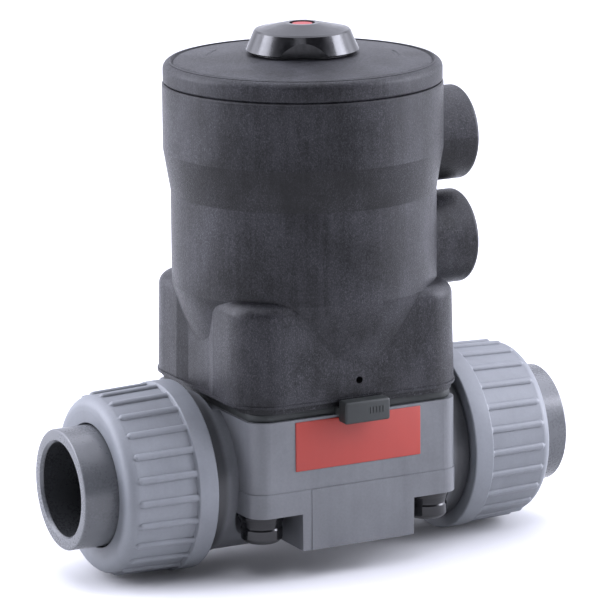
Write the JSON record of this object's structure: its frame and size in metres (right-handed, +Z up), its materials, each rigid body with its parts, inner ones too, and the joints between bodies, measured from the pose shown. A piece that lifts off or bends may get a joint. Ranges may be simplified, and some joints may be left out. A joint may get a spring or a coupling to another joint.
{
  "type": "diaphragm valve",
  "caption": "Pneumatic diaphragm valve: grey plastic body with ribbed union nuts and pipe sockets, black piston actuator with position indicator.",
  "frame": {"origin": "centre of the mounting foot's underside, below the stem", "axes": "+X along the pipe towards the air ports, -Y to the front with the label, +Z up the stem"},
  "size_m": [0.1872, 0.096, 0.1845],
  "materials": {
    "pvc_body": "moulded grey PVC, fine satin",
    "pvc_nut": "moulded blue-grey PVC, matt",
    "pvc_end": "moulded dark grey PVC, semi-gloss",
    "black_composite": "black glass-filled plastic, mottled satin",
    "lid_composite": "black glass-filled plastic, mottled satin",
    "gloss_black": "polished black",
    "indicator_red": "satin red",
    "label_red": "coral red, satin",
    "seal_rubber": "black rubber",
    "diaphragm_rubber": "dark grey-green rubber",
    "steel": "stainless steel",
    "spring_steel": "drawn spring steel",
    "brass": "machined brass",
    "inner_plastic": "natural moulded plastic",
    "bolt_cap_plastic": "black plastic, satin"
  },
  "bodies": {
    "root": {"valve_body": "pvc_body", "actuator_housing": "black_composite", "actuator_lid": "lid_composite", "indicator_cap": "gloss_black", "label_plate": "label_red", "union_seal_left": "seal_rubber", "union_seal_right": "seal_rubber", "diaphragm": "diaphragm_rubber", "spindle_bush": "inner_plastic", "spindle_seal": "seal_rubber", "lid_seal": "seal_rubber", "cap_seal": "seal_rubber", "body_bolts": "steel", "bolt_washers": "steel", "bolt_caps": "bolt_cap_plastic", "bolt_inserts": "brass", "mounting_inserts": "brass"},
    "stem": {"compressor": "inner_plastic", "diaphragm_stud": "steel", "spindle": "steel", "piston": "inner_plastic", "piston_seal": "seal_rubber", "piston_nut": "steel", "indicator_rod": "indicator_red", "spring_outer": "spring_steel", "spring_inner": "spring_steel"},
    "union_left": {"union_end_left": "pvc_end"},
    "nut_left": {"union_nut_left": "pvc_nut"},
    "union_right": {"union_end_right": "pvc_end"},
    "nut_right": {"union_nut_right": "pvc_nut"}
  },
  "joints": [
    {"name": "stem_slide", "type": "slide", "parent": "root", "child": "stem", "axis": [0, 0, 1], "range_m": [0, 0.01], "stiffness_N_per_m": 2000, "springref_m": -0.005, "deforming": ["spring_outer", "spring_inner", "diaphragm"]},
    {"name": "union_slide_left", "type": "slide", "parent": "root", "child": "union_left", "axis": [-1, 0, 0], "range_m": [0, 0.0185]},
    {"name": "nut_turn_left", "type": "hinge", "parent": "union_left", "child": "nut_left", "pos_m": [-0.066, 0, 0.022], "axis": [-1, 0, 0], "range_deg": [0, 2880]},
    {"name": "union_slide_right", "type": "slide", "parent": "root", "child": "union_right", "axis": [1, 0, 0], "range_m": [0, 0.0185]},
    {"name": "nut_turn_right", "type": "hinge", "parent": "union_right", "child": "nut_right", "pos_m": [0.066, 0, 0.022], "axis": [1, 0, 0], "range_deg": [0, 2880]}
  ],
  "couplings": [
    {"joint": "union_slide_left", "follows": "nut_turn_left", "m_per_rad": 0.00036749},
    {"joint": "union_slide_right", "follows": "nut_turn_right", "m_per_rad": 0.00036749}
  ]
}
